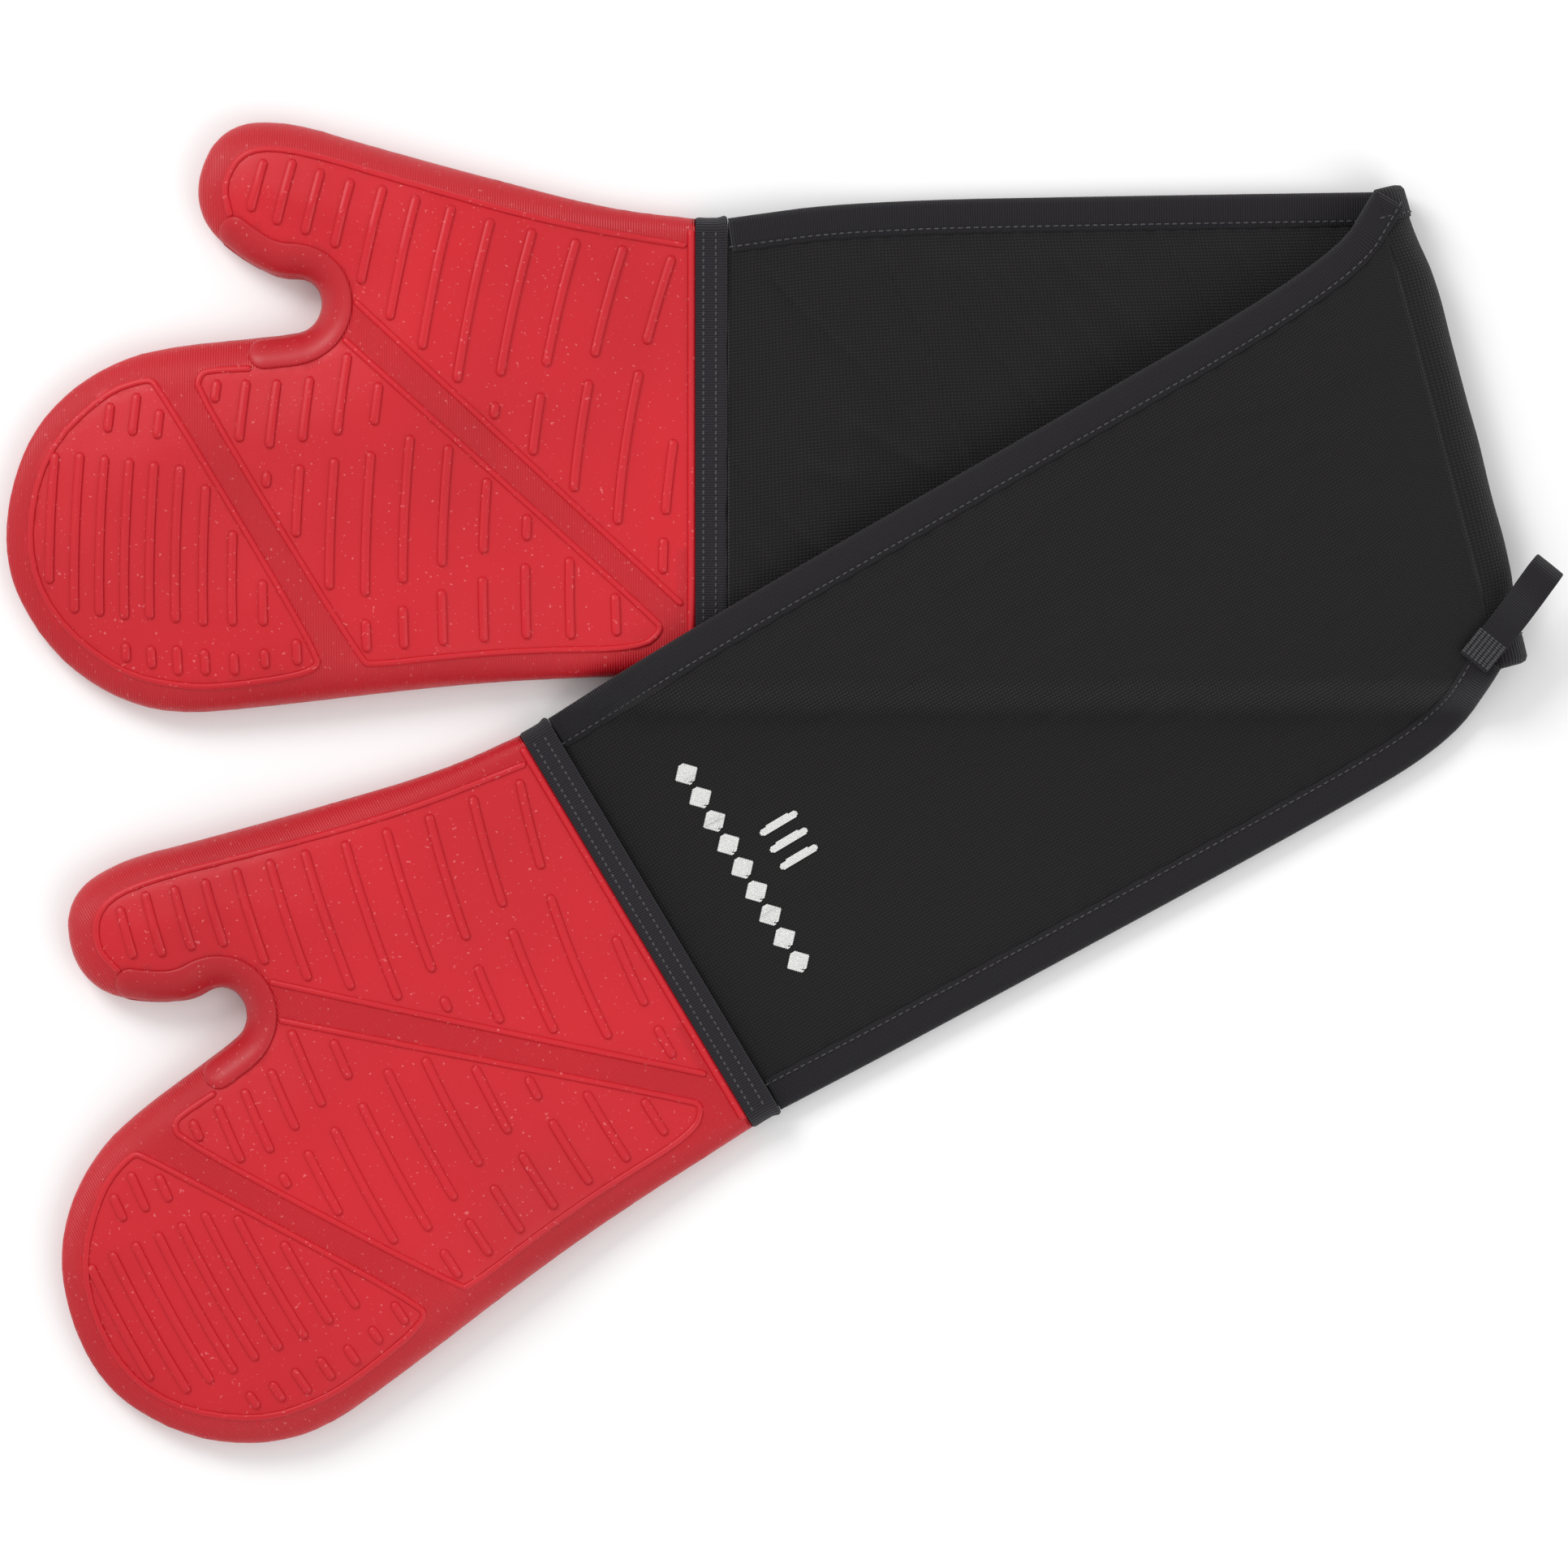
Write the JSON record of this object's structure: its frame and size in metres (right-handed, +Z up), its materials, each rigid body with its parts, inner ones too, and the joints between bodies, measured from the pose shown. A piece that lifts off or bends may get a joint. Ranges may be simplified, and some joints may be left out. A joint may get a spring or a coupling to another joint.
{
  "type": "double oven glove",
  "caption": "Two silicone mitts with cloth linings joined by one long padded canvas band, folded over, with a hanging loop.",
  "frame": {"origin": "centre of the flat underside of the under mitt's palm, which rests on the table", "axes": "+X towards the fold of the band, +Y towards the under mitt's thumb, +Z up off the table"},
  "size_m": [0.4738, 0.4026, 0.0291],
  "materials": {
    "silicone": "satin moulded silicone",
    "canvas": "matt plain weave cotton canvas",
    "wadding": "felted cotton wadding",
    "binding_tape": "ribbed twill tape",
    "cuff_tape": "ribbed twill tape",
    "lining_cloth": "cotton terry",
    "thread": "polyester thread",
    "white_thread": "embroidery thread",
    "loop_tape": "ribbed twill tape"
  },
  "bodies": {
    "under_arm": {"under_arm_outer_canvas": "canvas", "under_arm_inner_canvas": "canvas", "under_arm_wadding": "wadding", "under_arm_binding_thumb_side": "binding_tape", "under_arm_binding_loop_side": "binding_tape", "fold_outer_canvas": "canvas", "fold_inner_canvas": "canvas", "fold_wadding": "wadding", "fold_binding_thumb_side": "binding_tape", "fold_binding_loop_side": "binding_tape"},
    "over_arm": {"over_arm_outer_canvas": "canvas", "over_arm_inner_canvas": "canvas", "over_arm_wadding": "wadding", "over_arm_binding_thumb_side": "binding_tape", "over_arm_binding_loop_side": "binding_tape", "emblem": "white_thread"},
    "under_mitt": {"under_mitt_shell": "silicone", "under_mitt_lining": "lining_cloth", "under_mitt_cuff_tape": "cuff_tape", "under_mitt_cuff_stitching": "thread"},
    "over_mitt": {"over_mitt_shell": "silicone", "over_mitt_lining": "lining_cloth", "over_mitt_cuff_tape": "cuff_tape", "over_mitt_cuff_stitching": "thread"},
    "loop": {"hanging_loop": "loop_tape", "loop_bar_tack": "thread"}
  },
  "joints": [
    {"name": "fold_hinge", "type": "hinge", "parent": "under_arm", "child": "over_arm", "pos_m": [0.3542, -0.0541, 0.0094], "axis": [-0.2549, 0.967, 0], "range_deg": [0, 175], "deforming": ["fold_outer_canvas", "fold_inner_canvas", "fold_wadding", "fold_binding_thumb_side", "fold_binding_loop_side"]},
    {"name": "under_cuff_flex", "type": "hinge", "parent": "under_arm", "child": "under_mitt", "pos_m": [0.1189, 0.0139, 0.0044], "axis": [0, 1, 0], "range_deg": [-40, 0]},
    {"name": "over_cuff_flex", "type": "hinge", "parent": "over_arm", "child": "over_mitt", "pos_m": [0.09954, -0.12896, 0.0066], "axis": [-0.512, 0.859, 0], "range_deg": [0, 35]},
    {"name": "loop_swing", "type": "hinge", "parent": "over_arm", "child": "loop", "pos_m": [0.34545, -0.05227, 0.0203], "axis": [0.7804, -0.6252, 0], "range_deg": [0, 150]}
  ]
}
